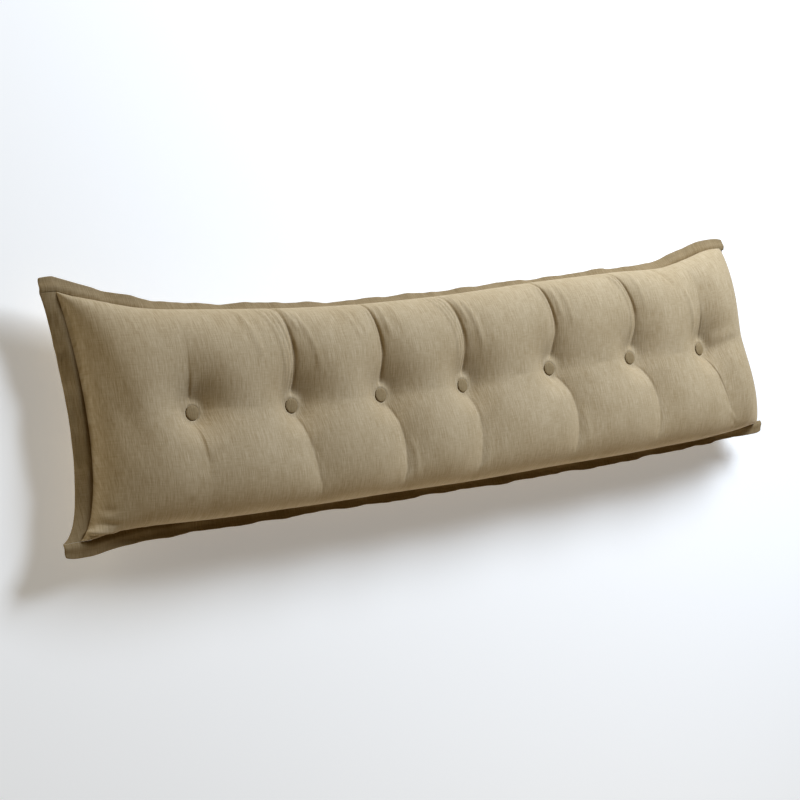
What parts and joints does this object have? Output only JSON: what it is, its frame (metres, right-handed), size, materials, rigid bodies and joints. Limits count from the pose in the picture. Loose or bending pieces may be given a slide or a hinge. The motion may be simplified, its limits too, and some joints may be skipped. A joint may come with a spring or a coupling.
{
  "type": "backrest pillow",
  "caption": "Long button-tufted backrest pillow with a flat flange, filled, lying on its back with the tufted face up.",
  "frame": {"origin": "middle of the bounding box, on the surface that the back lies on", "axes": "+X along the length to the right-hand end as seen from the face, +Y to the long side that is the top in use, +Z out of the tufted face"},
  "size_m": [1.9301, 0.5092, 0.1771],
  "materials": {
    "cushion_cloth": "matt beige slubbed linen-look weave, slubs across the length",
    "flange_cloth": "matt beige slubbed linen-look weave, folded double and topstitched",
    "button_cloth": "matt beige slubbed linen-look weave stretched over a button mould"
  },
  "bodies": {
    "root": {"cushion": "cushion_cloth", "flange_top": "flange_cloth", "flange_bottom": "flange_cloth", "flange_left": "flange_cloth", "flange_right": "flange_cloth", "button_1": "button_cloth", "button_2": "button_cloth", "button_3": "button_cloth", "button_4": "button_cloth", "button_5": "button_cloth", "button_6": "button_cloth", "button_7": "button_cloth"}
  },
  "joints": []
}
